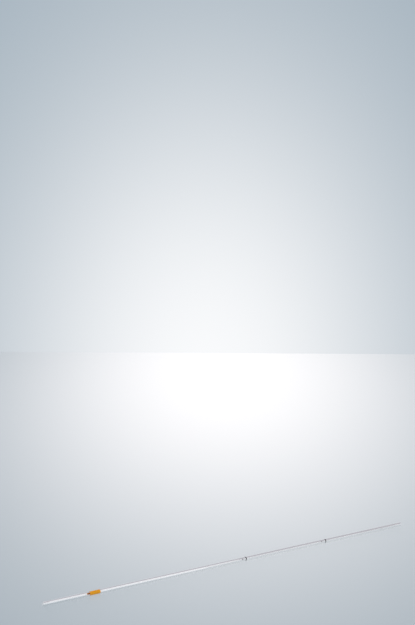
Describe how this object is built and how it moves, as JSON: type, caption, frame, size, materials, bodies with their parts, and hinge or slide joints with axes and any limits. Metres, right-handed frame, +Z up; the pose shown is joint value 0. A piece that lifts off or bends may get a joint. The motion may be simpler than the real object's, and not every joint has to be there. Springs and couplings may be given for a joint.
{
  "type": "glass capillary tube",
  "caption": "Straight thin-bore glass capillary micropipette with fire-polished ends, an orange colour-code band and dark calibration rings.",
  "frame": {"origin": "on the surface the tube lies on, under the middle of its length", "axes": "+X along the tube to its delivery end, the orange band being near the -X (holder) end; +Z up"},
  "size_m": [0.125, 0.001, 0.0011],
  "materials": {
    "glass": "fire-polished, clear",
    "orange_enamel": "fired, semi-gloss",
    "dark_enamel": "fired, semi-gloss"
  },
  "bodies": {
    "root": {"glass_tube": "glass", "colour_code_band": "orange_enamel", "full_volume_ring": "dark_enamel", "half_volume_ring": "dark_enamel"}
  },
  "joints": []
}
